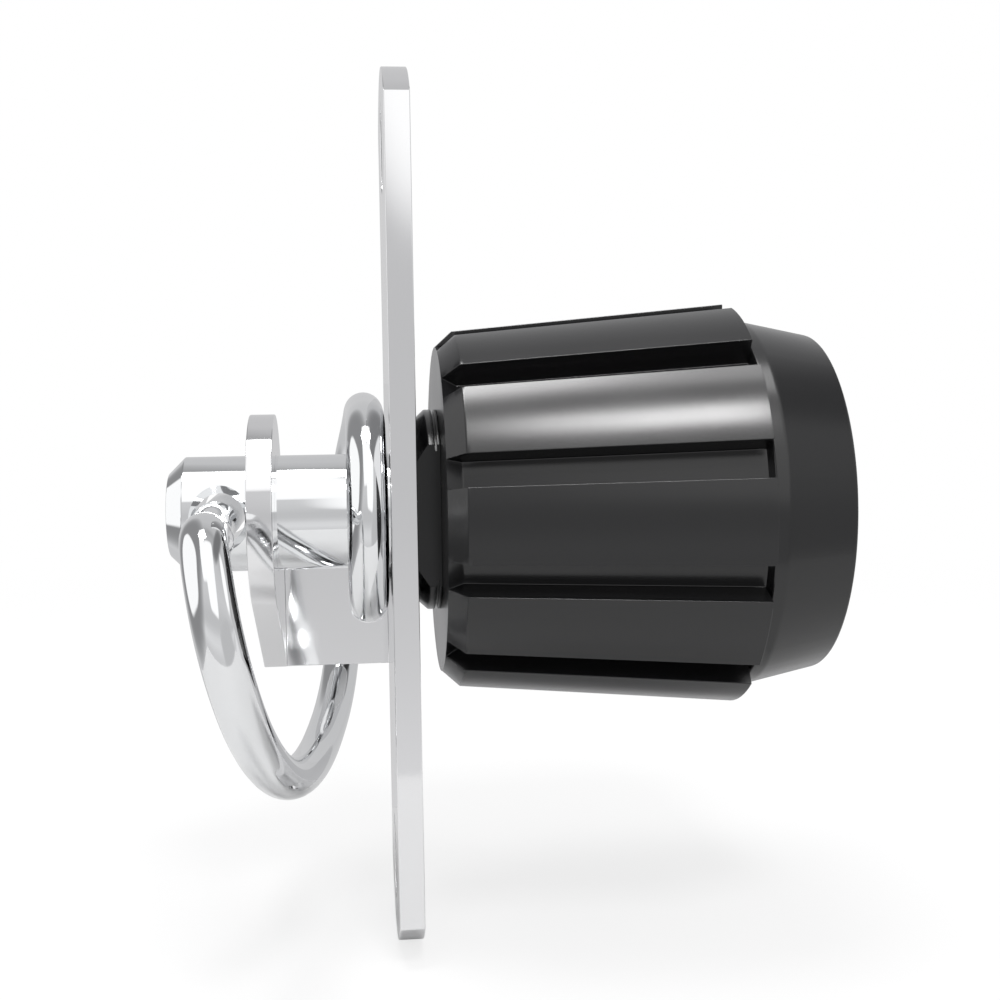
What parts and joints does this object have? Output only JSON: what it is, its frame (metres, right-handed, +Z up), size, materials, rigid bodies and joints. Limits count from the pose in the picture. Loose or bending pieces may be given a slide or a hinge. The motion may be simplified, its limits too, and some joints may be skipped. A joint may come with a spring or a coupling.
{
  "type": "compression latch",
  "caption": "Compression latch: folded slotted bracket, cross-drilled pin with a round wire lock, and a ribbed knob that screws along the pin.",
  "frame": {"origin": "centre of the plate's mounting face, on the pin axis", "axes": "+X along the pin from the plate towards the knob, +Z up along the slotted plate, -Y towards the front of the wire bow"},
  "size_m": [0.0785, 0.0688, 0.106],
  "materials": {
    "polished_plate": "polished nickel plate",
    "polished_pin": "polished",
    "spring_wire": "polished",
    "black_moulding": "satin moulded",
    "black_collar": "fine moulded",
    "brass_insert": "turned",
    "zinc_steel": "zinc plated"
  },
  "bodies": {
    "latch_base": {"mounting_bracket": "polished_plate", "locking_pin": "polished_pin", "wire_lock": "spring_wire", "stop_nut": "zinc_steel"},
    "thrust_stack": {"thrust_collar": "black_collar", "slip_washer": "black_collar"},
    "knob_assembly": {"ribbed_knob": "black_moulding", "threaded_insert": "brass_insert", "end_cap": "black_moulding"}
  },
  "joints": [
    {"name": "thrust_travel", "type": "slide", "parent": "latch_base", "child": "thrust_stack", "axis": [1, 0, 0], "range_m": [0, 0.00525]},
    {"name": "knob_turn", "type": "hinge", "parent": "thrust_stack", "child": "knob_assembly", "pos_m": [0.01, 0, 0], "axis": [1, 0, 0], "range_deg": [0, 1080]}
  ],
  "couplings": [
    {"joint": "thrust_travel", "follows": "knob_turn", "m_per_rad": 0.00027852}
  ]
}
